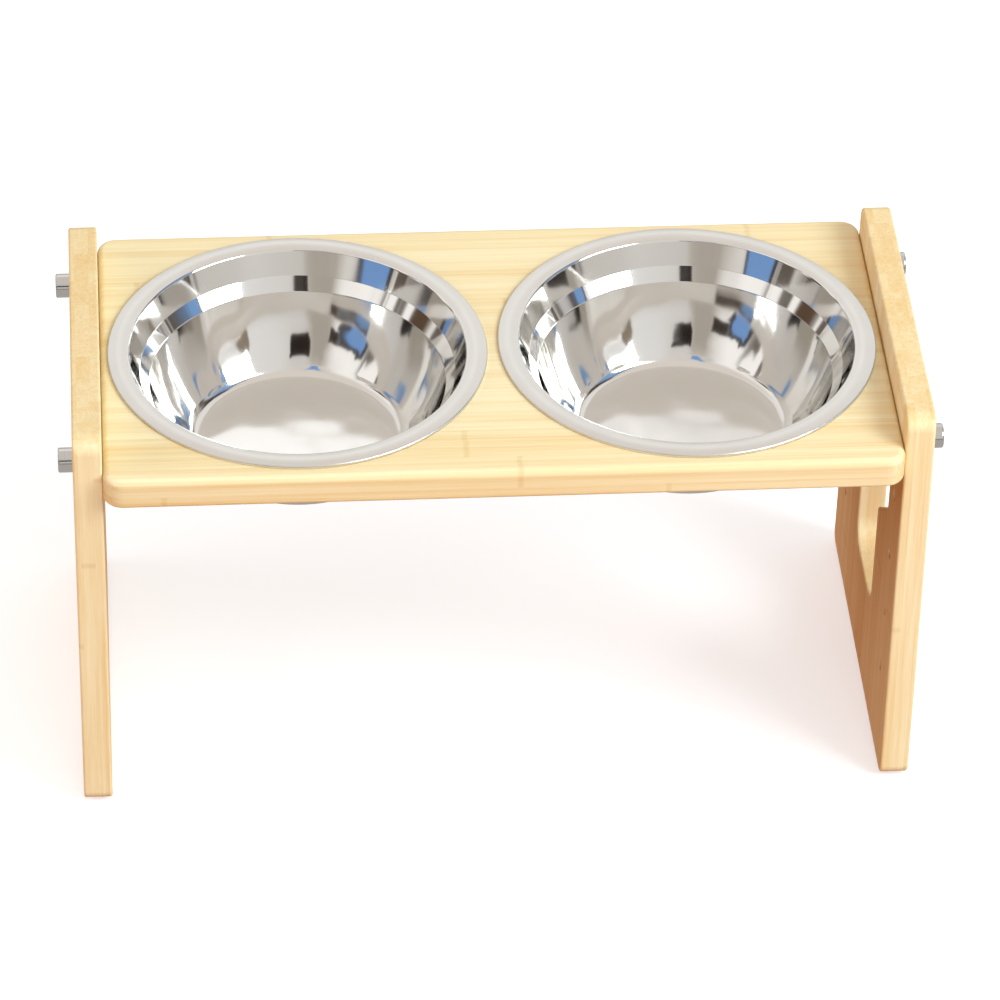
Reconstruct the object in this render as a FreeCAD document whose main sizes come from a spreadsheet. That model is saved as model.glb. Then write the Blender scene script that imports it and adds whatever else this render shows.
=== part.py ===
# A raised feeding stand: a bamboo tray bolted between two bamboo side panels, with two steel bowls.
# Millimetres, +Z up, X along the tray, the front towards -Y, the origin on the floor under the middle.
import FreeCAD, Part
import os
import re
import Sketcher

# The driving sizes
SIZES = {
    "stand_height": 222.5,         # floor to the top of the side panels
    "panel_thickness": 14,
    "panel_flare": 6,              # how much further a panel reaches at the floor, front and rear
    "panel_top_radius": 8,         # rounded upper corners of a panel
    "panel_foot_radius": 6,        # rounded lower corners of a panel
    "panel_edge_round": 1.2,       # softened edges of the outline and of the cut-out
    "tray_thickness": 16,
    "tray_drop": 17,               # top of the panels down to the top of the tray
    "tray_overhang": 9.5,          # tray past the top of the panels, front and rear
    "tray_corner_radius": 9.5,
    "tray_top_round": 3.5,
    "tray_under_round": 2,
    "rim_diameter": 185,
    "rim_gap": 5.5,                # between the two bowl rims
    "rim_end_gap": 3.75,           # from a rim to the side panel
    "rim_side_gap": 6.5,           # from a rim to the front or rear edge of the tray
    "rim_width": 10.2,
    "rim_edge_height": 1.5,        # edges of the domed rim above the tray
    "rim_crown_radius": 20,
    "rim_inner_round": 1.5,
    "rim_outer_round": 0.8,
    "bowl_sheet": 0.8,
    "bowl_clearance": 1.2,         # round the bowl in its hole
    "bowl_depth": 53.6,            # top of the tray down to the inside of the base
    "upper_wall_run": 5.3,         # how far the upper wall leans in
    "ledge_depth": 11,             # top of the tray down to the outer edge of the ledge
    "ledge_width": 4.5,
    "ledge_fall": 5.5,
    "ledge_outer_round": 1.2,
    "ledge_inner_round": 1.6,
    "lower_wall_lean": 0.558,      # how far the lower wall leans in for each millimetre down
    "lower_wall_bow": 110,         # radius of the lower wall's outward bow
    "base_round": 6.2,
    "hole_edge_round": 1,
    "hole_inset": 19.5,            # height holes from the upper front or rear corner of a panel
    "hole_pitch": 36,
    "window_bottom": 56.5,         # floor to the lower end of the cut-out
    "window_top_gap": 15,          # from the underside of the tray down to the top of the cut-out
    "window_hole_gap": 15,         # from the middle of the height holes in to the cut-out
    "window_head": 33.5,           # straight sides of the wide upper part
    "window_shoulder": 20.5,       # height of the sloping shoulders
    "slot_width": 56,
    "slot_round": 13,
    "shoulder_round": 3,
    "head_round": 12,
    "bolt_diameter": 6,
    "bolt_head_diameter": 12,
    "bolt_head_length": 7,
    "bolt_head_round": 0.8,
    "bolt_reach": 12,              # how far a bolt goes into the tray
    "bolt_tip": 0.8,
    "key_width": 5,                # hexagon socket across its flats
    "key_depth": 3.5,
    "bolt_hole_clearance": 0.3,    # round a bolt in a panel
    "thread_clearance": 0.05,      # round a bolt in its insert
    "insert_diameter": 9,
    "insert_length": 15,
    "insert_lead": 0.8,            # chamfer at the buried end of an insert
    "insert_clearance": 0.05,      # round an insert in the tray
    "bore_spare": 1,               # bore past the end of the insert
    "pad_thickness": 1.5,
    "pad_length": 40,
    "pad_width": 9,
    "pad_corner_radius": 3,
    "pad_inset": 10,               # from the lower front or rear corner of a panel
}
HOLE_ROWS = 5
ENDS = {"left": -1, "right": 1}
SIDES = {"front": -1, "rear": 1}

# Sizes that follow from the driving ones
BOWL_PLACE = "((rim_diameter + rim_gap) / 2)"
TRAY_LENGTH = "(2 * rim_diameter + rim_gap + 2 * rim_end_gap)"
TRAY_DEPTH = "(rim_diameter + 2 * rim_side_gap)"
TRAY_TOP = "(stand_height - tray_drop)"
TRAY_MIDDLE = f"({TRAY_TOP} - tray_thickness / 2)"
PANEL_TOP_HALF = f"({TRAY_DEPTH} / 2 - tray_overhang)"
PANEL_FOOT_HALF = f"({PANEL_TOP_HALF} + panel_flare)"
HOLE_PLACE = f"({PANEL_TOP_HALF} - hole_inset)"
WINDOW_HALF = f"({HOLE_PLACE} - window_hole_gap)"
WINDOW_TOP = f"({TRAY_MIDDLE} - tray_thickness / 2 - window_top_gap)"
SHOULDER_TOP = f"({WINDOW_TOP} - window_head)"
SHOULDER_FOOT = f"({SHOULDER_TOP} - window_shoulder)"
RIM_RADIUS = "(rim_diameter / 2)"
RIM_INSIDE = f"({RIM_RADIUS} - rim_width)"
BOWL_HOLE = f"({RIM_INSIDE} + bowl_sheet + bowl_clearance)"
LEDGE_OUTSIDE = f"({RIM_INSIDE} - upper_wall_run)"
LEDGE_INSIDE = f"({LEDGE_OUTSIDE} - ledge_width)"
LEDGE_FOOT = "(-ledge_depth - ledge_fall)"
BASE_RADIUS = f"({LEDGE_INSIDE} - lower_wall_lean * (bowl_depth + {LEDGE_FOOT}))"
NEAR = 1e-4

doc = FreeCAD.newDocument("feeding_stand")
sheet = doc.addObject("Spreadsheet::Sheet", "Sizes")
for row, (alias, size) in enumerate(SIZES.items(), start=1):
    sheet.set(f"A{row}", str(size))
    sheet.setAlias(f"A{row}", alias)
doc.recompute()


# Formulas: every word is the name of a size, except a function's name
def formula(text):
    return re.sub(r"\b[a-z][a-z_]*\b(?!\()", lambda word: "Sizes." + word.group(), text)


def value(text):
    return float(sheet.evalExpression(formula(text)))


def bind(item, setting, text):
    item.setExpression(setting, formula(text))


# Sketches
def new_body(label, x="0", y="0", z="0", turn=0):
    body = doc.addObject("PartDesign::Body", label)
    body.Label = label
    body.Placement = FreeCAD.Placement(FreeCAD.Vector(), FreeCAD.Rotation(FreeCAD.Vector(0, 0, 1), turn))
    for axis, text in zip("xyz", (x, y, z)):
        bind(body, f"Placement.Base.{axis}", text)
    return body


def new_sketch(body, role):
    plane = next(item for item in body.Origin.OriginFeatures if item.Role == role)
    sketch = body.newObject("Sketcher::SketchObject", "outline")
    sketch.AttachmentSupport = [(plane, "")]
    sketch.MapMode = "FlatFace"
    return sketch


def fix_coordinate(sketch, kind, axis, curve, point, text):
    number = value(text)
    if abs(number) < NEAR:
        sketch.addConstraint(Sketcher.Constraint("PointOnObject", curve, point, axis))
    elif number > 0:
        index = sketch.addConstraint(Sketcher.Constraint(kind, -1, 1, curve, point, number))
        bind(sketch, f"Constraints[{index}]", text)
    else:
        index = sketch.addConstraint(Sketcher.Constraint(kind, curve, point, -1, 1, -number))
        bind(sketch, f"Constraints[{index}]", f"-({text})")


def fix_point(sketch, curve, point, corner):
    fix_coordinate(sketch, "DistanceX", -2, curve, point, corner[0])
    fix_coordinate(sketch, "DistanceY", -1, curve, point, corner[1])


def fix_radius(sketch, curve, text):
    index = sketch.addConstraint(Sketcher.Constraint("Radius", curve, value(text)))
    bind(sketch, f"Constraints[{index}]", text)


def at(corner):
    return FreeCAD.Vector(value(corner[0]), value(corner[1]), 0)


def draw_line(sketch, start, end):
    """A straight line, with the numbers of its start and end points."""
    return sketch.addGeometry(Part.LineSegment(at(start), at(end)), False), 1, 2


def draw_bow(sketch, start, end, radius, side):
    """An arc that bows to the left (1) or right (-1) of the way from start to end.

    An arc's own points run anticlockwise, so they are in order where it bows to the right.
    """
    first, last = at(start), at(end)
    half = first.distanceToPoint(last) / 2
    rise = value(radius) - (value(radius) ** 2 - half ** 2) ** 0.5
    left = FreeCAD.Vector(first.y - last.y, last.x - first.x, 0).normalize()
    crown = (first + last) / 2 + left * side * rise
    arc = sketch.addGeometry(Part.Arc(first, crown, last), False)
    fix_radius(sketch, arc, radius)
    return (arc, 1, 2) if side < 0 else (arc, 2, 1)


def draw_outline(sketch, corners, bows=None):
    """A closed outline of straight lines, with a bow of the given radius and side after some corners."""
    curves = []
    for start, end in zip(corners, corners[1:] + corners[:1]):
        if bows and start in bows:
            curves.append(draw_bow(sketch, start, end, *bows[start]))
        else:
            curves.append(draw_line(sketch, start, end))
    for (curve, _, end), (following, start, _) in zip(curves, curves[1:] + curves[:1]):
        sketch.addConstraint(Sketcher.Constraint("Coincident", curve, end, following, start))
    for (curve, start, _), corner in zip(curves, corners):
        fix_point(sketch, curve, start, corner)


def draw_circle(sketch, centre, radius):
    circle = sketch.addGeometry(Part.Circle(at(centre), FreeCAD.Vector(0, 0, 1), value(radius)), False)
    fix_point(sketch, circle, 3, centre)
    fix_radius(sketch, circle, radius)


# Features
def add_feature(body, kind, sketch):
    feature = body.newObject(f"PartDesign::{kind}", kind.lower())
    feature.Profile = sketch
    return feature


def pad(body, sketch, length, midplane=False):
    feature = add_feature(body, "Pad", sketch)
    feature.Midplane = midplane
    bind(feature, "Length", length)
    doc.recompute()


def cut_through(body, sketch):
    before = body.Shape.Volume
    feature = add_feature(body, "Pocket", sketch)
    feature.Type = "ThroughAll"
    feature.Midplane = True
    doc.recompute()
    check_cut(body, before)


def cut_blind(body, sketch, depth):
    before = body.Shape.Volume
    feature = add_feature(body, "Pocket", sketch)
    feature.Reversed = True
    bind(feature, "Length", depth)
    doc.recompute()
    check_cut(body, before)


def check_cut(body, before):
    if body.Shape.Volume > before - NEAR:
        raise ValueError(f"a cut in {body.Label} removes nothing")


def revolve(body, sketch, axis):
    feature = add_feature(body, "Revolution", sketch)
    feature.ReferenceAxis = (sketch, [axis])
    doc.recompute()


def round_edges(body, radius, chosen):
    base = body.Tip
    edges = enumerate(base.Shape.Edges, start=1)
    names = [f"Edge{number}" for number, edge in edges if chosen(edge)]
    if not names:
        raise ValueError(f"no edge to round on {body.Label}")
    feature = body.newObject("PartDesign::Fillet", "rounding")
    feature.Base = (base, names)
    bind(feature, "Radius", radius)
    doc.recompute()


# Ways to choose edges, in a body's own coordinates
def same(number, text):
    return abs(number - value(text)) < NEAR


def standing_edge(edge):
    box = edge.BoundBox
    return box.XLength < NEAR and box.YLength < NEAR


def flat_edge(height):
    """Edges that lie wholly at this height."""
    return lambda edge: edge.BoundBox.ZLength < NEAR and same(edge.BoundBox.ZMin, height)


def in_a_face(edge):
    """Edges that lie wholly in a panel's inner or outer face."""
    return edge.BoundBox.XLength < NEAR


def bar_edges(*places):
    """Edges along X through the given (y, z) places."""
    spots = [(value(y), value(z)) for y, z in places]

    def chosen(edge):
        box = edge.BoundBox
        if box.YLength > NEAR or box.ZLength > NEAR:
            return False
        return any(abs(box.YMin - y) < NEAR and abs(box.ZMin - z) < NEAR for y, z in spots)

    return chosen


def is_circle(edge):
    return isinstance(edge.Curve, Part.Circle) and edge.isClosed()


def ring(radius, height):
    """The circle of this radius round the Z axis at this height."""

    def chosen(edge):
        return is_circle(edge) and same(edge.Curve.Radius, radius) and same(edge.Curve.Center.z, height)

    return chosen


# The pieces
def make_tray():
    body = new_body("tray_board", z=TRAY_MIDDLE)
    outline = new_sketch(body, "XY_Plane")
    signs = ((-1, -1), (1, -1), (1, 1), (-1, 1))
    draw_outline(outline, [(f"{x} * {TRAY_LENGTH} / 2", f"{y} * {TRAY_DEPTH} / 2") for x, y in signs])
    pad(body, outline, "tray_thickness", midplane=True)
    round_edges(body, "tray_corner_radius", standing_edge)
    round_edges(body, "tray_top_round", flat_edge("tray_thickness / 2"))
    round_edges(body, "tray_under_round", flat_edge("-tray_thickness / 2"))

    bowl_holes = new_sketch(body, "XY_Plane")
    for end in ENDS.values():
        draw_circle(bowl_holes, (f"{end} * {BOWL_PLACE}", "0"), BOWL_HOLE)
    cut_through(body, bowl_holes)
    round_edges(body, "hole_edge_round", lambda edge: is_circle(edge) and same(edge.Curve.Radius, BOWL_HOLE))

    for end in ENDS.values():
        for side in SIDES.values():
            bore_for_insert(body, end, side)
    return body


def bore_for_insert(body, end, side):
    before = body.Shape.Volume
    bore = body.newObject("PartDesign::SubtractiveCylinder", "bore")
    inward = FreeCAD.Rotation(FreeCAD.Vector(0, 0, 1), FreeCAD.Vector(-end, 0, 0))
    bore.Placement = FreeCAD.Placement(FreeCAD.Vector(), inward)
    bind(bore, "Placement.Base.x", f"{end} * {TRAY_LENGTH} / 2")
    bind(bore, "Placement.Base.y", f"{side} * {HOLE_PLACE}")
    bind(bore, "Radius", "insert_diameter / 2 + insert_clearance")
    bind(bore, "Height", "insert_length + bore_spare")
    doc.recompute()
    check_cut(body, before)


def make_panel(label, end):
    # A panel's own X axis runs from the face with the lower X
    inner_face = f"{end} * {TRAY_LENGTH} / 2"
    body = new_body(label, x=inner_face if end > 0 else f"{inner_face} - panel_thickness")
    feet = [(f"{side} * {PANEL_FOOT_HALF}", "pad_thickness") for side in (-1, 1)]
    tops = [(f"{side} * {PANEL_TOP_HALF}", "stand_height") for side in (1, -1)]
    outline = new_sketch(body, "YZ_Plane")
    draw_outline(outline, feet + tops)
    pad(body, outline, "panel_thickness")
    round_edges(body, "panel_top_radius", bar_edges(*tops))
    round_edges(body, "panel_foot_radius", bar_edges(*feet))

    cut_window(body)
    round_edges(body, "panel_edge_round", in_a_face)

    holes = new_sketch(body, "YZ_Plane")
    for side in SIDES.values():
        for step in range(HOLE_ROWS):
            centre = (f"{side} * {HOLE_PLACE}", f"{TRAY_MIDDLE} - {step} * hole_pitch")
            draw_circle(holes, centre, "bolt_diameter / 2 + bolt_hole_clearance")
    cut_through(body, holes)
    return body


def cut_window(body):
    """A narrow slot that widens through sloping shoulders into a broad upper part."""
    slot = [(f"{side} * slot_width / 2", "window_bottom") for side in (-1, 1)]
    waist = [(f"{side} * slot_width / 2", SHOULDER_FOOT) for side in (1, -1)]
    shoulders = [(f"{side} * {WINDOW_HALF}", SHOULDER_TOP) for side in (1, -1)]
    head = [(f"{side} * {WINDOW_HALF}", WINDOW_TOP) for side in (1, -1)]
    right_side = [waist[0], shoulders[0], head[0]]
    left_side = [head[1], shoulders[1], waist[1]]
    window = new_sketch(body, "YZ_Plane")
    draw_outline(window, slot + right_side + left_side)
    cut_through(body, window)
    round_edges(body, "slot_round", bar_edges(*slot))
    round_edges(body, "shoulder_round", bar_edges(*waist, *shoulders))
    round_edges(body, "head_round", bar_edges(*head))


def make_bowl(label, end):
    # A bowl's own origin is at the middle of its hole, level with the top of the tray
    body = new_body(label, x=f"{end} * {BOWL_PLACE}", z=TRAY_TOP)
    inside = [
        (RIM_INSIDE, "rim_edge_height"),
        (LEDGE_OUTSIDE, "-ledge_depth"),
        (LEDGE_INSIDE, LEDGE_FOOT),
        (BASE_RADIUS, "-bowl_depth"),
        ("0", "-bowl_depth"),
    ]
    # On the leaning walls the outside of the sheet stands off sideways, and half as far down
    under_rim = "rim_edge_height - sqrt(rim_crown_radius ^ 2 - (rim_width / 2) ^ 2)"
    under_rim += " + sqrt((rim_crown_radius - bowl_sheet) ^ 2 - (rim_width / 2 - bowl_sheet) ^ 2)"
    outside = [
        ("0", "-bowl_depth - bowl_sheet"),
        (f"{BASE_RADIUS} + bowl_sheet / 2", "-bowl_depth - bowl_sheet"),
        (f"{LEDGE_INSIDE} + bowl_sheet", f"{LEDGE_FOOT} - bowl_sheet / 2"),
        (f"{LEDGE_OUTSIDE} + bowl_sheet", "-ledge_depth - bowl_sheet / 2"),
        (f"{RIM_INSIDE} + bowl_sheet", under_rim),
    ]
    # The turned-down edge of the rim rests on the tray
    lip_inside = f"{RIM_RADIUS} - bowl_sheet"
    lip = [(lip_inside, under_rim), (lip_inside, "0"), (RIM_RADIUS, "0"), (RIM_RADIUS, "rim_edge_height")]
    bows = {
        inside[2]: ("lower_wall_bow", 1),
        outside[1]: ("lower_wall_bow + bowl_sheet", -1),
        outside[-1]: ("rim_crown_radius - bowl_sheet", 1),
        lip[-1]: ("rim_crown_radius", -1),
    }
    profile = new_sketch(body, "XZ_Plane")
    draw_outline(profile, inside + outside + lip, bows)
    revolve(body, profile, "V_Axis")

    round_edges(body, "rim_inner_round", ring(*inside[0]))
    round_edges(body, "rim_outer_round", ring(*lip[-1]))
    round_edges(body, "ledge_outer_round", ring(*inside[1]))
    round_edges(body, "ledge_outer_round + bowl_sheet", ring(*outside[3]))
    round_edges(body, "ledge_inner_round + bowl_sheet", ring(*inside[2]))
    round_edges(body, "ledge_inner_round", ring(*outside[2]))
    round_edges(body, "base_round", ring(*inside[3]))
    round_edges(body, "base_round + bowl_sheet", ring(*outside[1]))
    return body


def make_bolt(label, end, side):
    # A bolt's own X axis runs inwards from the outer end of its head
    outer_end = f"{TRAY_LENGTH} / 2 + panel_thickness + bolt_head_length"
    turn = 0 if end < 0 else 180
    body = new_body(label, f"{end} * ({outer_end})", f"{side} * {HOLE_PLACE}", TRAY_MIDDLE, turn)
    tip = "bolt_head_length + panel_thickness + bolt_reach"
    profile = new_sketch(body, "XZ_Plane")
    draw_outline(profile, [
        ("0", "0"),
        ("0", "bolt_head_diameter / 2"),
        ("bolt_head_length", "bolt_head_diameter / 2"),
        ("bolt_head_length", "bolt_diameter / 2"),
        (f"{tip} - bolt_tip", "bolt_diameter / 2"),
        (tip, "bolt_diameter / 2 - bolt_tip"),
        (tip, "0"),
    ])
    revolve(body, profile, "H_Axis")
    round_edges(body, "bolt_head_round", lambda edge: is_circle(edge) and same(edge.Curve.Center.x, "0"))

    socket = new_sketch(body, "YZ_Plane")
    flat, point, half_side = "key_width / 2", "key_width / sqrt(3)", "key_width / sqrt(12)"
    draw_outline(socket, [
        ("0", f"-{point}"),
        (flat, f"-{half_side}"),
        (flat, half_side),
        ("0", point),
        (f"-{flat}", half_side),
        (f"-{flat}", f"-{half_side}"),
    ])
    cut_blind(body, socket, "key_depth")
    return body


def make_insert(label, end, side):
    # An insert's own X axis runs inwards from the end face of the tray
    turn = 0 if end < 0 else 180
    body = new_body(label, f"{end} * {TRAY_LENGTH} / 2", f"{side} * {HOLE_PLACE}", TRAY_MIDDLE, turn)
    bore = "bolt_diameter / 2 + thread_clearance"
    profile = new_sketch(body, "XZ_Plane")
    draw_outline(profile, [
        ("0", bore),
        ("0", "insert_diameter / 2"),
        ("insert_length - insert_lead", "insert_diameter / 2"),
        ("insert_length", "insert_diameter / 2 - insert_lead"),
        ("insert_length", bore),
    ])
    revolve(body, profile, "H_Axis")
    return body


def make_foot_pad(label, end, side):
    middle_of_panel = f"{end} * ({TRAY_LENGTH} / 2 + panel_thickness / 2)"
    body = new_body(label, middle_of_panel, f"{side} * ({PANEL_FOOT_HALF} - pad_inset - pad_length / 2)")
    outline = new_sketch(body, "XY_Plane")
    signs = ((-1, -1), (1, -1), (1, 1), (-1, 1))
    draw_outline(outline, [(f"{x} * pad_width / 2", f"{y} * pad_length / 2") for x, y in signs])
    pad(body, outline, "pad_thickness")
    round_edges(body, "pad_corner_radius", standing_edge)
    return body


pieces = [make_tray()]
for end_name, end_sign in ENDS.items():
    pieces.append(make_panel(f"{end_name}_side_panel", end_sign))
    pieces.append(make_bowl(f"{end_name}_bowl", end_sign))
    for side_name, side_sign in SIDES.items():
        corner_name = f"{side_name}_{end_name}"
        pieces.append(make_bolt(f"{corner_name}_bolt", end_sign, side_sign))
        pieces.append(make_insert(f"{corner_name}_insert", end_sign, side_sign))
        pieces.append(make_foot_pad(f"{corner_name}_foot_pad", end_sign, side_sign))
doc.recompute()

for item in doc.Objects:
    if "Invalid" in item.State or "Error" in item.State:
        raise ValueError(f"{item.Label} is not up to date")
for piece in pieces:
    if piece.Shape.isNull() or not piece.Shape.isValid():
        raise ValueError(f"{piece.Label} has no valid shape")

os.makedirs("parts", exist_ok=True)
for piece in pieces:
    piece.Shape.exportStep(f"parts/{piece.Label}.step")
    print(f"{piece.Label}: {piece.Shape.Volume:.0f} cubic millimetres")
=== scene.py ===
import math

import bmesh
import bpy
from bpy.props import FloatProperty, FloatVectorProperty, IntProperty, PointerProperty
from mathutils import Matrix, Vector


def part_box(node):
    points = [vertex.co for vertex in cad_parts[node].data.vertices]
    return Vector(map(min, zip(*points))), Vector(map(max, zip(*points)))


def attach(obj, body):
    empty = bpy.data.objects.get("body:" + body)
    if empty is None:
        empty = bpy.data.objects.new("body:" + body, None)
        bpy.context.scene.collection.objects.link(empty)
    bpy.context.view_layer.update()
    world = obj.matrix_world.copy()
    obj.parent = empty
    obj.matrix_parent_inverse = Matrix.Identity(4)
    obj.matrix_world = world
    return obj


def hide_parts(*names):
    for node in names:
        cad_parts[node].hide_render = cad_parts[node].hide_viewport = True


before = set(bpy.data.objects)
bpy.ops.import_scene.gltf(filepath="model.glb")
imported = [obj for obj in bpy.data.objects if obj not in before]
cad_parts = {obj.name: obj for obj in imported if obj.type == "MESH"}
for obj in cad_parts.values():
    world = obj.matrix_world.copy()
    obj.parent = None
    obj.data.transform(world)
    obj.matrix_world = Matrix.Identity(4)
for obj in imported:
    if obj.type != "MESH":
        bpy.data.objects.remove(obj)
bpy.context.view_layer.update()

bl_info = {
    "name": "Raised feeding stand",
    "version": (1, 0, 0),
    "blender": (4, 5, 0),
    "location": "View3D > Sidebar > Feeding stand",
    "description": "Dresses a bamboo feeding stand with its steel bowls, bolts and pads",
    "category": "Object",
}

TRAY_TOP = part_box("tray_board")[1][2]
BOWL_LOW, BOWL_HIGH = (Vector(corner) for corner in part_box("right_bowl"))
BOLT_LOW, BOLT_HIGH = (Vector(corner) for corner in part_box("front_right_bolt"))
ENDS = ("left", "right")
SIDES = ("front", "rear")
CORNERS = [f"{side}_{end}" for end in ENDS for side in SIDES]
MM = 0.001
NEAR = 0.001 * MM


# Settings that a user would change
def length(name, description, default):
    return FloatProperty(name=name, description=description, default=default, unit="LENGTH", min=0)


def colour(name, description, default):
    return FloatVectorProperty(name=name, description=description, default=default, subtype="COLOR", size=3)


class BambooSettings(bpy.types.PropertyGroup):
    light: colour("Light strips", "The palest bamboo strips", (0.88, 0.76, 0.485))
    dark: colour("Dark strips", "The darkest bamboo strips", (0.76, 0.50, 0.19))
    end_grain: colour("End grain", "Fibre ends on the sawn edges", (0.72, 0.455, 0.18))
    node_mark: colour("Node marks", "Rings of the bamboo stem across a strip", (0.60, 0.37, 0.14))
    strip: length("Strip width", "Width of one glued strip", 21 * MM)
    ply: length("Ply", "Thickness of one glued layer", 7 * MM)
    ring_gap: length("Ring gap", "Distance between two rings of the stem along a strip", 240 * MM)


class BowlSettings(bpy.types.PropertyGroup):
    steel: colour("Steel", "Colour of the polished steel", (0.80, 0.785, 0.76))
    sheet: length("Sheet", "Thickness of the steel", 0.8 * MM)
    rim_width: length("Rim width", "Width of the domed rim", 10.2 * MM)
    rim_edge: length("Rim edge", "Height of the rim's edges above the tray", 1.5 * MM)
    rim_crown: length("Rim crown", "Radius over the top of the rim", 13 * MM)
    rim_peak: length("Rim peak", "How far the crown's radius takes the peak of the rim down", 0.55 * MM)
    rim_inner_round: length("Rim inner round", "Radius between rim and upper wall", 1.5 * MM)
    rim_outer_round: length("Rim outer round", "Radius between rim and its turned-down edge", 0.8 * MM)
    lip_round: length("Lip round", "Radius at the end of the turned-down edge", 0.2 * MM)
    depth: length("Depth", "Top of the tray to the inside of the base", 53.6 * MM)
    upper_run: length("Upper run", "How far the upper wall leans in", 5.3 * MM)
    ledge_depth: length("Ledge depth", "Top of the tray to the ledge", 10.5 * MM)
    ledge_width: length("Ledge width", "Width of the ledge", 4.5 * MM)
    ledge_fall: length("Ledge fall", "Fall across the ledge", 6.5 * MM)
    ledge_outer_round: length("Ledge outer round", "Radius between upper wall and ledge", 1.2 * MM)
    ledge_inner_round: length("Ledge inner round", "Radius between ledge and lower wall", 2.4 * MM)
    lower_run: length("Lower run", "How far the lower wall leans in", 20.7 * MM)
    lower_bow: length("Lower bow", "Radius of the lower wall's outward bow", 110 * MM)
    base_round: length("Base round", "Radius between wall and base", 6.2 * MM)
    segments: IntProperty(name="Segments", description="Faces round a bowl", default=192, min=24)


class BoltSettings(bpy.types.PropertyGroup):
    steel: colour("Steel", "Colour of the bolts", (0.68, 0.67, 0.66))
    head_length: length("Head length", "Length of a bolt's head", 7 * MM)
    head_round: length("Head round", "Radius of the head's outer edge", 0.8 * MM)
    under_round: length("Under round", "Radius of the head's edge at the panel", 0.2 * MM)
    shank: length("Shank", "Diameter of a bolt's shank", 6 * MM)
    key: length("Key", "Hexagon socket across its flats", 5 * MM)
    key_depth: length("Key depth", "Depth of the hexagon socket", 3.5 * MM)
    key_round: length("Key round", "Radius at the floor of the socket", 0.1 * MM)
    key_chamfer: length("Key chamfer", "Depth of the chamfer at the socket's mouth", 0.3 * MM)
    pitch: length("Thread pitch", "Distance between two thread crests", 1 * MM)
    thread_depth: length("Thread depth", "Depth of the thread", 0.5 * MM)
    plain: length("Plain end", "Length without thread at each end, and chamfer of the tip", 0.8 * MM)
    segments: IntProperty(name="Segments", description="Faces round a bolt", default=48, min=24)


class StageSettings(bpy.types.PropertyGroup):
    floor: colour("Floor", "Colour of the pale floor", (0.66, 0.66, 0.66))
    key_light: FloatProperty(name="Key light", description="Power at the right", default=33, unit="POWER")
    front_light: FloatProperty(name="Front light", description="Power in front", default=17, unit="POWER")
    left_light: FloatProperty(name="Left light", description="Power at the left", default=13, unit="POWER")
    room: FloatProperty(name="Room light", description="Strength of the light all round", default=0.72)


# Node trees written as sums
class Wire:
    """A socket that takes part in Python sums. Each sum adds a Math node to its tree."""

    def __init__(self, kit, socket):
        self.kit = kit
        self.socket = socket

    def __add__(self, other):
        return self.kit.maths("ADD", self, other)

    def __sub__(self, other):
        return self.kit.maths("SUBTRACT", self, other)

    def __mul__(self, other):
        return self.kit.maths("MULTIPLY", self, other)

    def __truediv__(self, other):
        return self.kit.maths("DIVIDE", self, other)

    def __rsub__(self, other):
        return self.kit.maths("SUBTRACT", other, self)

    def __rtruediv__(self, other):
        return self.kit.maths("DIVIDE", other, self)

    __radd__ = __add__
    __rmul__ = __mul__


class Kit:
    """Adds nodes to one tree, for a material, the world or a shape."""

    def __init__(self, tree):
        self.tree = tree
        tree.nodes.clear()

    def add(self, kind, settings=None, inputs=None, output=0):
        """A node with its settings, then its sockets by name or number, each a value or a wire."""
        node = self.tree.nodes.new(kind)
        for name, setting in (settings or {}).items():
            setattr(node, name, setting)
        for key, given in (inputs or {}).items():
            if isinstance(given, Wire):
                self.tree.links.new(given.socket, node.inputs[key])
            else:
                node.inputs[key].default_value = given
        return Wire(self, node.outputs[output]) if len(node.outputs) else node

    def other(self, wire, output):
        """Another output of the node that a wire comes from."""
        return Wire(self, wire.socket.node.outputs[output])

    def maths(self, operation, first, second=0.0):
        return self.add("ShaderNodeMath", {"operation": operation}, {0: first, 1: second})

    def step(self, value, low, high):
        """From 0 at low to 1 at high with a smooth way between them, also where low is the larger."""
        settings = {"interpolation_type": "SMOOTHSTEP"}
        return self.add("ShaderNodeMapRange", settings, {"Value": value, "From Min": low, "From Max": high})

    def mix(self, factor, first, second):
        """From one colour to another."""
        first, second = (tint if isinstance(tint, Wire) else (*tint, 1) for tint in (first, second))
        return self.add("ShaderNodeMix", {"data_type": "RGBA"}, {0: factor, 6: first, 7: second}, output=2)

    def vector(self, x, y, z):
        return self.add("ShaderNodeCombineXYZ", None, {0: x, 1: y, 2: z})

    def parts(self, vector):
        first = self.add("ShaderNodeSeparateXYZ", None, {0: vector})
        return [first, self.other(first, 1), self.other(first, 2)]

    def noise(self, vector, detail):
        return self.add("ShaderNodeTexNoise", None, {"Vector": vector, "Scale": 1.0, "Detail": detail})

    def chance(self, x, y, z=0.0):
        """A random number from 0 to 1 for each whole-number place."""
        return self.add("ShaderNodeTexWhiteNoise", None, {"Vector": self.vector(x, y, z)})


def dimmed(tint, share):
    return tuple(part * share for part in tint)


def new_material(name):
    material = bpy.data.materials.new(name)
    material.use_nodes = True
    return material, Kit(material.node_tree)


def finish_surface(kit, inputs, bump=None, bump_strength=0.0, bump_distance=0.2 * MM):
    """The shader of a surface, with an optional height wire for its bump."""
    inputs = dict(inputs)
    if bump is not None:
        settings = {"Height": bump, "Strength": bump_strength, "Distance": bump_distance}
        inputs["Normal"] = kit.add("ShaderNodeBump", None, settings)
    surface = kit.add("ShaderNodeBsdfPrincipled", None, inputs)
    kit.add("ShaderNodeOutputMaterial", None, {"Surface": surface})


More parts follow.
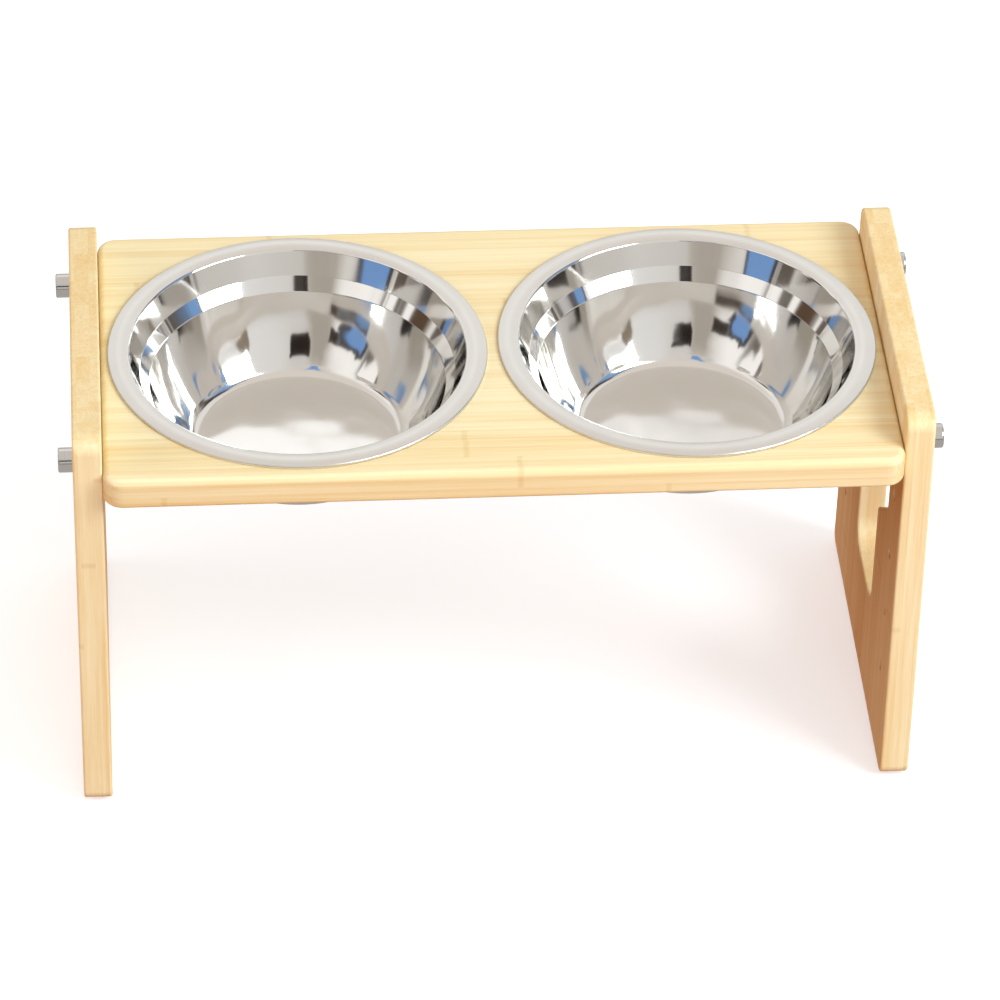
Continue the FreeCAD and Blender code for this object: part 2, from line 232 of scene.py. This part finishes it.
# Materials
def bamboo(name, grain, across, through):
    """Lacquered strips glued side by side and in layers. The axes are X, Y or Z as 0, 1 or 2."""
    settings = bpy.context.scene.feeding_stand_bamboo
    light, dark = tuple(settings.light), tuple(settings.dark)
    material, kit = new_material(name)
    place = kit.add("ShaderNodeTexCoord", output="Object")
    facing = kit.add("ShaderNodeTexCoord", output="Normal")
    axes = kit.parts(place)
    along, side, deep = axes[grain], axes[across], axes[through]

    layer = kit.maths("FLOOR", deep / settings.ply)
    stagger = kit.chance(layer, 3.0) * 0.8
    strips = side / settings.strip + stagger
    strip = kit.maths("FLOOR", strips)
    within = kit.maths("FRACT", strips)
    tone = kit.chance(strip, layer)
    seam_half_width = 0.015
    seam = kit.step(kit.maths("ABSOLUTE", within - 0.5), 0.5 - seam_half_width, 0.5)

    def drawn_out(waves_along, waves_across, detail, side_shift=0.0, deep_shift=0.0):
        """Noise drawn out along the strip, with its waves counted in a metre."""
        sideways, inwards = side * waves_across + side_shift, deep * waves_across + deep_shift
        return kit.noise(kit.vector(along * waves_along, sideways, inwards), detail)

    broad = drawn_out(2.2, 130, 3.0, side_shift=tone * 9)
    lines = drawn_out(7, 430, 2.0, deep_shift=tone * 5)
    fibres = drawn_out(18, 1500, 2.0)
    flecks = kit.step(drawn_out(60, 2600, 1.0, deep_shift=7.0), 0.62, 0.75)

    # Rings of the stem cross a strip at even gaps, with a small waver. Their widths are shares of the gap
    ring_core, ring_edge = 0.002, 0.009
    waver = kit.noise(kit.vector(side * 160, tone * 30, layer), 1.0) * 0.012
    ring_place = kit.maths("FRACT", along / settings.ring_gap + kit.chance(strip, layer, 5.0) + waver)
    ring = 1 - kit.step(kit.maths("ABSOLUTE", ring_place - 0.5), ring_core, ring_edge)

    ends = kit.step(kit.maths("ABSOLUTE", kit.parts(facing)[grain]), 0.6, 0.9)
    dots = kit.step(kit.noise(kit.vector(side * 1800, deep * 1800, along * 20), 1.0), 0.5, 0.7)
    depth = tone * 0.34 + (broad - 0.45) + (lines - 0.45) * 0.8 + (fibres - 0.5) * 0.5 + flecks * 0.15
    shade = kit.mix(depth, light, dark)
    shade = kit.mix(ring * (0.1 + lines * 0.25), shade, tuple(settings.node_mark))
    shade = kit.mix(seam * 0.25, shade, dark)
    shade = kit.mix(ends * (0.28 + dots * 0.35), shade, tuple(settings.end_grain))

    rough = 0.52 + fibres * 0.14 + ends * 0.1
    height = fibres * 0.6 + flecks * 0.3 - seam * 0.8 - ring * 0.4
    inputs = {"Base Color": shade, "Roughness": rough, "Specular IOR Level": 0.03}
    finish_surface(kit, inputs, height, bump_strength=0.12)
    return material


def polished_steel(name, centre):
    """Drawn sheet steel: mirror walls inside, a satin rim and base, and a brushed outside."""
    settings = bpy.context.scene.feeding_stand_bowl
    tint = tuple(settings.steel)
    material, kit = new_material(name)
    place = kit.add("ShaderNodeTexCoord", output="Object")
    shifted = kit.add("ShaderNodeMapping", None, {"Vector": place, "Location": tuple(-centre)})
    x, y, z = kit.parts(shifted)
    radius = kit.maths("SQRT", x * x + y * y)
    facing_up = kit.parts(kit.add("ShaderNodeTexCoord", output="Normal"))[2]

    # Where the rim, the base and the outside are
    blend = 1.5 * MM
    base_height = 4 * MM
    rim_inside = (BOWL_HIGH.y - BOWL_LOW.y) / 2 - settings.rim_width
    rim = kit.step(radius, rim_inside, rim_inside + blend)
    base = 1 - kit.step(z, -settings.depth + blend, -settings.depth + base_height)
    satin = kit.maths("MAXIMUM", rim, base * 0.22)
    outside = kit.step(facing_up, -0.02, -0.12)

    # Turning lines, smears and dents by their waves in a metre, and slow waves round the wall
    line_waves, smear_waves, dent_waves = 4200, 45, 30
    round_waves, rise_waves = 4, 14
    turning = kit.noise(kit.vector(radius * line_waves, z * line_waves, 0.0), 2.0)
    smears = kit.noise(kit.vector(x * smear_waves, y * smear_waves, z * smear_waves), 3.0)
    dents = kit.noise(kit.vector(x * dent_waves, y * dent_waves, 0.0), 1.0)
    off_centre = radius + MM
    around = kit.vector(x / off_centre * round_waves, y / off_centre * round_waves, z * rise_waves)
    waves = kit.noise(around, 0.0)

    shade = kit.mix(smears * 0.5 + turning * satin * 0.3, tint, dimmed(tint, 0.9))
    shade = kit.mix(outside * (0.7 + turning * 0.5), shade, dimmed(tint, 0.8))
    rough = 0.05 + satin * 0.2 + smears * 0.05 + turning * satin * 0.06 + outside * 0.28
    swell = 9
    uneven = (waves * (1 - base) + dents * base) * (1 - outside) * swell
    height = turning * satin * 0.15 + uneven
    inputs = {"Base Color": shade, "Metallic": 1.0, "Roughness": rough}
    finish_surface(kit, inputs, height, bump_strength=0.25, bump_distance=0.5 * MM)
    return material


def lathe_marks(kit, lines, drift):
    """Fine turning lines along X, with their waves counted in a metre along it and across it."""
    x, y, z = kit.parts(kit.add("ShaderNodeTexCoord", output="Object"))
    return kit.noise(kit.vector(x * lines, y * drift, z * drift), 2.0)


def bright_steel():
    tint = tuple(bpy.context.scene.feeding_stand_bolt.steel)
    material, kit = new_material("bolt_steel")
    lathe = lathe_marks(kit, 3000, 120)
    shade = kit.mix(lathe * 0.6, tint, dimmed(tint, 0.82))
    inputs = {"Base Color": shade, "Metallic": 1.0, "Roughness": 0.08 + lathe * 0.08}
    finish_surface(kit, inputs, lathe, bump_strength=0.06)
    return material


def turned_brass():
    bright, worn = (0.78, 0.58, 0.25), (0.62, 0.43, 0.16)
    material, kit = new_material("insert_brass")
    lathe = lathe_marks(kit, 2600, 90)
    shade = kit.mix(lathe, bright, worn)
    inputs = {"Base Color": shade, "Metallic": 1.0, "Roughness": 0.24 + lathe * 0.2}
    finish_surface(kit, inputs, lathe, bump_strength=0.1)
    return material


def grip_rubber():
    """Matt rubber with a pebbled face."""
    bare, dusty = (0.030, 0.029, 0.028), (0.065, 0.062, 0.058)
    material, kit = new_material("pad_rubber")
    place = kit.add("ShaderNodeTexCoord", output="Object")
    pebbles = kit.add("ShaderNodeTexVoronoi", None, {"Vector": place, "Scale": 900.0})
    dust = kit.noise(kit.add("ShaderNodeMapping", None, {"Vector": place, "Scale": (300, 300, 300)}), 3.0)
    shade = kit.mix(dust, bare, dusty)
    inputs = {"Base Color": shade, "Roughness": 0.72 + dust * 0.2}
    finish_surface(kit, inputs, pebbles, bump_strength=0.4, bump_distance=0.3 * MM)
    return material


# Turned shapes: a profile of radius and height spun round an axis
MARKS = ("hexagon", "thread")


def soften(corners, steps=6, lead=0.2 * MM):
    """Points along an outline of (radius, height, rounding) corners, with an arc at each rounded one."""
    points = []
    last = len(corners) - 1
    for number, (radius, height, rounding) in enumerate(corners):
        corner = Vector((radius, height))
        if number in (0, last) or not rounding:
            points.append(corner)
            continue
        before = Vector(corners[number - 1][:2]) - corner
        after = Vector(corners[number + 1][:2]) - corner
        half = before.angle(after) / 2
        reach = rounding / math.tan(half)
        start, end = corner + before.normalized() * reach, corner + after.normalized() * reach
        middle = corner + (before.normalized() + after.normalized()).normalized() * rounding / math.sin(half)
        sweep = math.pi - 2 * half
        # A short straight lead on each side keeps the shading of the long walls true
        points.append(start + before.normalized() * min(reach, lead))
        for step in range(steps + 1):
            share = step / steps
            weight_start = math.sin((1 - share) * sweep) / math.sin(sweep)
            weight_end = math.sin(share * sweep) / math.sin(sweep)
            points.append(middle + (start - middle) * weight_start + (end - middle) * weight_end)
        points.append(end + after.normalized() * min(reach, lead))
    return points


def turning_tree():
    """A node group that spins a profile. The marks on the profile's points shape it further."""
    tree = bpy.data.node_groups.new("turned_shape", "GeometryNodeTree")
    sockets = [("Profile", "NodeSocketGeometry"), ("Segments", "NodeSocketInt"), ("Rows", "NodeSocketInt"),
               ("Thread pitch", "NodeSocketFloat"), ("Thread depth", "NodeSocketFloat"),
               ("Material", "NodeSocketMaterial")]
    for name, kind in sockets:
        tree.interface.new_socket(name, in_out="INPUT", socket_type=kind)
    tree.interface.new_socket("Shape", in_out="OUTPUT", socket_type="NodeSocketGeometry")

    kit = Kit(tree)
    profile = kit.add("NodeGroupInput")
    segments, rows, pitch, thread_depth, finish = (
        kit.other(profile, number) for number in range(1, len(sockets)))
    grid = kit.add("GeometryNodeMeshGrid", None, {
        "Size X": 1.0, "Size Y": 1.0, "Vertices X": segments + 1, "Vertices Y": rows})
    u, v, _ = kit.parts(kit.other(grid, "UV Map"))
    row = kit.maths("ROUND", v * (rows - 1))
    angle = u * math.tau

    def from_profile(kind, value):
        inputs = {"Geometry": profile, "Value": value, "Index": row}
        return kit.add("GeometryNodeSampleIndex", {"data_type": kind, "domain": "POINT"}, inputs)

    radius, _, height = kit.parts(from_profile("FLOAT_VECTOR", kit.add("GeometryNodeInputPosition")))
    marks = {}
    for mark in MARKS:
        named = kit.add("GeometryNodeInputNamedAttribute", {"data_type": "FLOAT"}, {"Name": mark})
        marks[mark] = from_profile("FLOAT", named)
    sixth = math.tau / 6
    flat_angle = kit.maths("MODULO", angle, sixth) - sixth / 2
    six_sided = 1 / kit.maths("COSINE", flat_angle) - 1
    wave = kit.maths("PINGPONG", height / pitch + u, 0.5) * 2
    radius = radius * (1 + marks["hexagon"] * six_sided) - marks["thread"] * thread_depth * wave
    spun = kit.vector(radius * kit.maths("COSINE", angle), radius * kit.maths("SINE", angle), height)
    moved = kit.add("GeometryNodeSetPosition", None, {"Geometry": grid, "Position": spun})
    closed = kit.add("GeometryNodeMergeByDistance", None, {"Geometry": moved, "Distance": 2 * NEAR})
    smooth = kit.add("GeometryNodeSetShadeSmooth", None, {0: closed})
    realized = kit.add("GeometryNodeRealizeInstances", None, {0: smooth})
    coated = kit.add("GeometryNodeSetMaterial", None, {"Geometry": realized, "Material": finish})
    kit.add("NodeGroupOutput", None, {0: coated})
    return tree


def turn(name, points, place, material, segments, pitch=1.0, thread_depth=0.0, marks=None):
    """A plain mesh object from a profile, spun, moved to its place and with its faces outwards."""
    outline = bpy.data.meshes.new(name + "_profile")
    links = [(number, number + 1) for number in range(len(points) - 1)]
    outline.from_pydata([(point.x, 0, point.y) for point in points], links, [])
    for mark in MARKS:
        values = (marks or {}).get(mark, [0.0] * len(points))
        outline.attributes.new(mark, "FLOAT", "POINT").data.foreach_set("value", values)
    blank = bpy.data.objects.new(name + "_profile", outline)
    bpy.context.collection.objects.link(blank)
    tree = bpy.data.node_groups.get("turned_shape") or turning_tree()
    spin = blank.modifiers.new("turned_shape", "NODES")
    spin.node_group = tree
    sizes = {"Segments": segments, "Rows": len(points), "Thread pitch": pitch, "Thread depth": thread_depth,
             "Material": material}
    for item in tree.interface.items_tree:
        if item.name in sizes:
            spin[item.identifier] = sizes[item.name]
    evaluated = blank.evaluated_get(bpy.context.evaluated_depsgraph_get())
    mesh = bpy.data.meshes.new_from_object(evaluated)
    bpy.data.objects.remove(blank)
    mesh.name = name
    mesh.transform(place)
    cleaned = bmesh.new()
    cleaned.from_mesh(mesh)
    bmesh.ops.recalc_face_normals(cleaned, faces=cleaned.faces)
    cleaned.to_mesh(mesh)
    cleaned.free()
    piece = bpy.data.objects.new(name, mesh)
    bpy.context.collection.objects.link(piece)
    return piece


def bow(start, end, radius, steps=8):
    """Points between two corners on an arc that bows down and outwards, each with no rounding."""
    first, last = Vector(start), Vector(end)
    if first.y < last.y:
        return bow(end, start, radius, steps)[::-1]
    way = (last - first).normalized()
    half = (last - first).length / 2
    to_middle = math.sqrt(radius * radius - half * half)
    middle = (first + last) / 2 + Vector((way.y, -way.x)) * to_middle
    reach = math.asin(half / radius)
    points = []
    for step in range(1, steps):
        turned = reach * (2 * step / steps - 1)
        spot = middle + (Vector((-way.y, way.x)) * math.cos(turned) + way * math.sin(turned)) * radius
        points.append((spot.x, spot.y, 0))
    return points


def bowl_profile(settings):
    """Inside, rim and outside of a bowl, from the middle of its base and back under it."""
    sheet, edge = settings.sheet, settings.rim_edge
    rim = (BOWL_HIGH.x - BOWL_LOW.x) / 2
    rim_inside = rim - settings.rim_width
    rim_middle = rim - settings.rim_width / 2
    crown = BOWL_HIGH.z - TRAY_TOP + settings.rim_peak
    ledge_out = rim_inside - settings.upper_run
    ledge_in = ledge_out - settings.ledge_width
    ledge_foot = -settings.ledge_depth - settings.ledge_fall
    base = ledge_in - settings.lower_run
    under_rim = edge - sheet
    wall_inside = bow((base, -settings.depth), (ledge_in, ledge_foot), settings.lower_bow)
    ledge_outside = (ledge_in + sheet, ledge_foot - sheet / 2)
    base_outside = (base + sheet / 2, -settings.depth - sheet)
    wall_outside = bow(ledge_outside, base_outside, settings.lower_bow + sheet)
    inside = [
        (0, -settings.depth, 0),
        (base, -settings.depth, settings.base_round),
        *wall_inside,
        (ledge_in, ledge_foot, settings.ledge_inner_round),
        (ledge_out, -settings.ledge_depth, settings.ledge_outer_round),
        (rim_inside, edge, settings.rim_inner_round),
        (rim_middle, crown, settings.rim_crown),
        (rim, edge, settings.rim_outer_round),
    ]
    lip = [
        (rim, 0, settings.lip_round),
        (rim - sheet, 0, settings.lip_round),
        (rim - sheet, under_rim, settings.lip_round),
    ]
    outside = [
        (rim_middle, crown - sheet, settings.rim_crown - sheet),
        (rim_inside + sheet, under_rim, settings.rim_inner_round - sheet),
        (ledge_out + sheet, -settings.ledge_depth - sheet / 2, settings.ledge_outer_round + sheet),
        (*ledge_outside, settings.ledge_inner_round - sheet),
        *wall_outside,
        (*base_outside, settings.base_round),
        (0, -settings.depth - sheet, 0),
    ]
    return soften(inside + lip + outside)


def bolt_profile(settings):
    """From the floor of the socket over the head and along the shank, with its marks."""
    whole = BOLT_HIGH.x - BOLT_LOW.x
    head = (BOLT_HIGH.z - BOLT_LOW.z) / 2
    shank = settings.shank / 2
    socket = settings.key / 2
    # The chamfer reaches just past the corners of the hexagon
    mouth = socket * 1.16
    head_points = soften([
        (0, settings.key_depth, 0),
        (socket, settings.key_depth, settings.key_round),
        (socket, settings.key_chamfer, 0),
        (mouth, 0, 0),
        (head, 0, settings.head_round),
        (head, settings.head_length, settings.under_round),
        (shank, settings.head_length, 0),
    ], steps=4)
    rows_per_turn = 8
    run = whole - settings.head_length - 2 * settings.plain
    rows = round(run / settings.pitch * rows_per_turn)
    start = settings.head_length + settings.plain
    shank_points = [Vector((shank, start + run * row / rows)) for row in range(rows + 1)]
    tip_points = [Vector((shank - settings.plain, whole)), Vector((0, whole))]
    points = head_points + shank_points + tip_points
    hexagon = [0.0] * len(points)
    for number, point in enumerate(head_points):
        if point.x <= socket + NEAR:
            hexagon[number] = 1.0
    thread = [0.0] * len(points)
    for row in range(rows + 1):
        fade = min(row, rows - row) / rows_per_turn
        thread[len(head_points) + row] = min(1.0, fade)
    return points, {"thread": thread, "hexagon": hexagon}


# Operators
def paint(node, material):
    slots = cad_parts[node].data.materials
    slots.clear()
    slots.append(material)


class STAND_OT_boards(bpy.types.Operator):
    """Finish the tray and the side panels in laminated bamboo"""

    bl_idname = "feeding_stand.boards"
    bl_label = "Bamboo boards"

    def execute(self, context):
        paint("tray_board", bamboo("tray_bamboo", grain=0, across=1, through=2))
        panel = bamboo("panel_bamboo", grain=2, across=1, through=0)
        for end in ENDS:
            paint(f"{end}_side_panel", panel)
            # The bowls mirror the room alone
            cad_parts[f"{end}_side_panel"].visible_glossy = False
        return {"FINISHED"}


class STAND_OT_bowls(bpy.types.Operator):
    """Turn the two steel bowls in place of the plain ones"""

    bl_idname = "feeding_stand.bowls"
    bl_label = "Steel bowls"

    def execute(self, context):
        settings = context.scene.feeding_stand_bowl
        points = bowl_profile(settings)
        for end in ENDS:
            low, high = (Vector(corner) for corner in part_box(f"{end}_bowl"))
            centre = (low + high) / 2
            centre.z = TRAY_TOP
            steel = polished_steel(f"{end}_bowl_steel", centre)
            bowl = turn(f"{end}_steel_bowl", points, Matrix.Translation(centre), steel, settings.segments)
            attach(bowl, f"{end}_bowl_body")
            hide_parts(f"{end}_bowl")
        return {"FINISHED"}


class STAND_OT_bolts(bpy.types.Operator):
    """Turn the four bolts with their sockets and threads"""

    bl_idname = "feeding_stand.bolts"
    bl_label = "Bolts"

    def execute(self, context):
        settings = context.scene.feeding_stand_bolt
        steel = bright_steel()
        points, marks = bolt_profile(settings)
        for corner in CORNERS:
            low, high = (Vector(spot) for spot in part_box(f"{corner}_bolt"))
            middle = (low + high) / 2
            outward = 1 if middle.x > 0 else -1
            head_end = Vector((high.x if outward > 0 else low.x, middle.y, middle.z))
            lie_down = Matrix.Rotation(-outward * math.pi / 2, 4, "Y")
            place = Matrix.Translation(head_end) @ lie_down
            bolt = turn(f"{corner}_steel_bolt", points, place, steel, settings.segments,
                        settings.pitch, settings.thread_depth, marks)
            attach(bolt, f"{corner}_bolt_body")
            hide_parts(f"{corner}_bolt")
        return {"FINISHED"}


class STAND_OT_inserts(bpy.types.Operator):
    """Finish the threaded inserts in brass"""

    bl_idname = "feeding_stand.inserts"
    bl_label = "Threaded inserts"

    def execute(self, context):
        brass = turned_brass()
        for corner in CORNERS:
            paint(f"{corner}_insert", brass)
        return {"FINISHED"}


class STAND_OT_pads(bpy.types.Operator):
    """Finish the foot pads in rubber"""

    bl_idname = "feeding_stand.pads"
    bl_label = "Foot pads"

    def execute(self, context):
        rubber = grip_rubber()
        for corner in CORNERS:
            paint(f"{corner}_foot_pad", rubber)
        return {"FINISHED"}


# Stage: the camera, with its angles in degrees and its frame in shares of the picture's width
CAMERA_TURN, CAMERA_RISE, CAMERA_ROLL = -4.93, 38.57, 1.44
CAMERA_TARGET = Vector((0, 0, 0.1145))
CAMERA_DISTANCE = 2.6864
CAMERA_ZOOM = 5.3858
CAMERA_SHIFT = (0.01098, -0.0079)

FLOOR_REACH = 40
FLOOR_GLOW = 0.52

# Lamps by name, with their places, and whether the steel mirrors them
SOFTBOXES = {
    "key": (Vector((1.45, -1.0, 1.5)), True),
    "front": (Vector((0.2, -2.2, 0.55)), False),
    "left": (Vector((-1.9, 0.0, 0.7)), False),
}
SOFTBOX_SIZE = 1.0
SOFTBOX_COLOUR = (0.93, 1.0, 1.02)

# Places in the room, each a colour, then bearing, rise, half width, half height and softness in degrees
BLUE = (0.30, 0.55, 1.00)
BRIGHT = (1.80, 1.79, 1.77)
CARDS = {
    "haze": ((0.66, 0.60, 0.52), (-21, 22, 6, 9, 14)),
    "left window frame": ((0.10, 0.09, 0.09), (-52, 13, 12, 11, 1)),
    "left window": ((0.28, 0.52, 1.00), (-52, 13, 9, 8, 1.5)),
    "left dark spot": ((0.06, 0.04, 0.03), (-35, 21, 4, 3, 1)),
    "front dark spot": ((0.03, 0.02, 0.015), (-2, 29, 5, 5, 1)),
    "right dim spot": ((0.40, 0.32, 0.24), (45, 17, 6, 4, 3)),
    "right window frame": ((0.16, 0.14, 0.13), (86, 36, 17, 21, 2)),
    "right window": (BLUE, (86, 36, 14, 18, 2)),
    "high window": (BLUE, (-19, 50, 7, 5, 2)),
    "right half of the rear lamp": (BRIGHT, (180, 39, 5, 4, 2)),
    "left half of the rear lamp": (BRIGHT, (-180, 39, 3, 4, 2)),
    "right dark post": ((0.10, 0.07, 0.05), (113, 40, 7, 16, 3)),
    "left dark post": ((0.16, 0.10, 0.06), (-99, 24, 5, 14, 3)),
}
FRONT_WALL = (0.97, 0.93, 0.88)
STREAK = (0.12, 0.085, 0.06)
WHITE_LIGHT = (1.05, 1.10, 1.12)
WARM_SHADE = (0.54, 0.15, 0.01)
BACKDROP = (1.5, 1.5, 1.5)


def set_camera():
    """The camera looks down at the stand from the front, turned, rolled and off the middle of its frame."""
    turned, raised, rolled = (math.radians(angle) for angle in (CAMERA_TURN, CAMERA_RISE, CAMERA_ROLL))
    level = Vector((-math.sin(turned), math.cos(turned), 0))
    forward = level * math.cos(raised) - Vector((0, 0, math.sin(raised)))
    right = Vector((math.cos(turned), math.sin(turned), 0))
    up = right.cross(forward)
    tilted_right = math.cos(rolled) * right + math.sin(rolled) * up
    tilted_up = math.cos(rolled) * up - math.sin(rolled) * right
    camera = bpy.data.objects.new("camera", bpy.data.cameras.new("camera"))
    bpy.context.collection.objects.link(camera)
    turn_to = Matrix((tilted_right, tilted_up, -forward)).transposed().to_4x4()
    camera.matrix_world = Matrix.Translation(CAMERA_TARGET - forward * CAMERA_DISTANCE) @ turn_to
    camera.data.lens = CAMERA_ZOOM * camera.data.sensor_width
    camera.data.shift_x, camera.data.shift_y = CAMERA_SHIFT
    bpy.context.scene.camera = camera


def set_floor(settings):
    shape = bmesh.new()
    bmesh.ops.create_grid(shape, x_segments=4, y_segments=4, size=FLOOR_REACH)
    mesh = bpy.data.meshes.new("floor")
    shape.to_mesh(mesh)
    shape.free()
    floor = bpy.data.objects.new("floor", mesh)
    bpy.context.collection.objects.link(floor)
    material, kit = new_material("floor")
    mottle = kit.noise(kit.add("ShaderNodeTexCoord", output="Object"), 2.0)
    tint = tuple(settings.floor)
    shade = kit.mix(mottle * 0.2, tint, dimmed(tint, 0.97))
    glow = {"Emission Color": (1, 1, 1, 1), "Emission Strength": FLOOR_GLOW}
    finish_surface(kit, {"Base Color": shade, "Roughness": 0.9, **glow})
    mesh.materials.append(material)
    # Only the camera sees the floor. The lower half of the room lights the undersides and shows in the steel
    floor.visible_diffuse = False
    floor.visible_glossy = False


def layered(kit, shade, layers):
    """Lays colours over each other: each has a measure, where it begins and is full, and its share."""
    for measure, begins, full, share, tint in layers.values():
        shade = kit.mix(kit.step(measure, begins, full) * share, shade, tint)
    return shade


def side_streaks(kit, bearing, rise):
    """How much of a dark streak is seen in a direction. They stand low at both sides of the room."""
    pattern = kit.step(kit.noise(kit.vector(bearing * 6.5, rise * 2.4, 2.0), 3.0), 0.47, 0.56)
    turned = kit.maths("ABSOLUTE", bearing)
    past_front = kit.step(turned, math.radians(58), math.radians(70))
    before_rear = kit.step(turned, math.radians(150), math.radians(120))
    above_ground = kit.step(rise, -0.02, 0.02)
    low = kit.step(rise, 0.75, 0.35)
    return pattern * (past_front * before_rear * above_ground) * low * 0.92


def mirrored_room(kit, x, y, z, bearing, rise):
    """What the steel mirrors: pale walls with streaks at the sides, and the cards."""
    shade = layered(kit, FRONT_WALL, {
        "right wall": (x, -0.4, 0.6, 1.0, (1.25, 1.24, 1.22)),
        "left wall": (x, -0.3, -0.65, 1.0, (1.60, 1.57, 1.52)),
        "rear wall": (y, 0.2, 0.7, 1.0, (1.38, 1.36, 1.32)),
        "ceiling": (rise, 0.55, 1.2, 1.0, (1.18, 1.09, 1.00)),
        "low wall": (rise, 0.30, 0.10, 0.5, (0.66, 0.60, 0.51)),
        "skirting": (rise, 0.075, 0.045, 0.75, (0.14, 0.11, 0.09)),
        "ground": (rise, -0.02, -0.08, 1.0, (0.80, 0.75, 0.70)),
    })
    shade = kit.mix(side_streaks(kit, bearing, rise), shade, STREAK)

    def ragged(angle, waves, reach, shift):
        """An angle that wavers, for uneven edges."""
        spot = kit.vector(x * waves, y * waves, z * waves + shift)
        return angle + (kit.noise(spot, 2.0) - 0.5) * reach

    ragged_bearing = ragged(bearing, 7, 0.16, 0)
    ragged_rise = ragged(rise, 9, 0.12, 4)
    for tint, sizes in CARDS.values():
        turned, raised, half_width, half_height, soft = (math.radians(size) for size in sizes)
        wide = kit.step(kit.maths("ABSOLUTE", ragged_bearing - turned), half_width + soft, half_width)
        tall = kit.step(kit.maths("ABSOLUTE", ragged_rise - raised), half_height + soft, half_height)
        shade = kit.mix(wide * tall, shade, tint)
    return shade


def soft_room(kit, x, y, rise):
    """What lights the matt surfaces: white from most sides and above, warm shade from the left and below."""
    return layered(kit, WARM_SHADE, {
        "right": (x, -0.5, 0.15, 1.0, WHITE_LIGHT),
        "front and rear": (kit.maths("ABSOLUTE", y), 0.85, 0.98, 1.0, WHITE_LIGHT),
        "above": (rise, 0.55, 1.05, 1.0, WHITE_LIGHT),
        "below": (rise, 0.0, -0.02, 1.0, WARM_SHADE),
    })


def set_room(settings):
    """One room for mirror pictures, a softer one for matt surfaces, and a plain backdrop for the camera."""
    world = bpy.data.worlds.new("room")
    world.use_nodes = True
    bpy.context.scene.world = world
    kit = Kit(world.node_tree)
    x, y, z = kit.parts(kit.add("ShaderNodeTexCoord", output="Generated"))
    bearing = kit.maths("ARCTAN2", x, 0 - y)
    rise = kit.maths("ARCSINE", z)
    on_matt = kit.add("ShaderNodeLightPath", output="Diffuse Depth")
    to_camera = kit.other(on_matt, "Is Camera Ray")
    shade = kit.mix(on_matt, mirrored_room(kit, x, y, z, bearing, rise), soft_room(kit, x, y, rise))
    shade = kit.mix(to_camera, shade, BACKDROP)
    light = kit.add("ShaderNodeBackground", None, {"Color": shade, "Strength": settings.room})
    kit.add("ShaderNodeOutputWorld", None, {"Surface": light})


def set_softbox(name, place, power, mirrored):
    """A square lamp that faces the stand. The steel mirrors it only where that is asked for."""
    lamp = bpy.data.lights.new(name, "AREA")
    lamp.size = SOFTBOX_SIZE
    lamp.energy = power
    lamp.color = SOFTBOX_COLOUR
    softbox = bpy.data.objects.new(name, lamp)
    bpy.context.collection.objects.link(softbox)
    facing = place.to_track_quat("Z", "Y").to_matrix().to_4x4()
    softbox.matrix_world = Matrix.Translation(place) @ facing
    softbox.visible_glossy = mirrored


class STAND_OT_stage(bpy.types.Operator):
    """Set the floor, the light and the camera"""

    bl_idname = "feeding_stand.stage"
    bl_label = "Stage"

    def execute(self, context):
        settings = context.scene.feeding_stand_stage
        set_floor(settings)
        set_room(settings)
        for name, (place, mirrored) in SOFTBOXES.items():
            set_softbox(f"{name}_softbox", place, getattr(settings, f"{name}_light"), mirrored)
        set_camera()
        context.scene.view_settings.view_transform = "Standard"
        return {"FINISHED"}


GROUPS = {
    "feeding_stand_bamboo": BambooSettings,
    "feeding_stand_bowl": BowlSettings,
    "feeding_stand_bolt": BoltSettings,
    "feeding_stand_stage": StageSettings,
}
OPERATORS = (
    STAND_OT_boards, STAND_OT_bowls, STAND_OT_bolts, STAND_OT_inserts, STAND_OT_pads, STAND_OT_stage,
)


class STAND_PT_panel(bpy.types.Panel):
    """Lists the pieces of the stand and their settings"""

    bl_idname = "STAND_PT_panel"
    bl_label = "Feeding stand"
    bl_space_type = "VIEW_3D"
    bl_region_type = "UI"
    bl_category = "Feeding stand"

    def draw(self, context):
        for operator in OPERATORS:
            self.layout.operator(operator.bl_idname)
        for group, kind in GROUPS.items():
            box = self.layout.box()
            for setting in kind.__annotations__:
                box.prop(getattr(context.scene, group), setting)


def register():
    for kind in (*GROUPS.values(), *OPERATORS, STAND_PT_panel):
        bpy.utils.register_class(kind)
    for group, kind in GROUPS.items():
        setattr(bpy.types.Scene, group, PointerProperty(type=kind))


def unregister():
    for group in GROUPS:
        delattr(bpy.types.Scene, group)
    for kind in (STAND_PT_panel, *reversed(OPERATORS), *reversed(GROUPS.values())):
        bpy.utils.unregister_class(kind)


def main():
    register()
    bpy.ops.feeding_stand.boards()
    bpy.ops.feeding_stand.bowls()
    bpy.ops.feeding_stand.bolts()
    bpy.ops.feeding_stand.inserts()
    bpy.ops.feeding_stand.pads()
    bpy.ops.feeding_stand.stage()


if __name__ == "__main__":
    main()
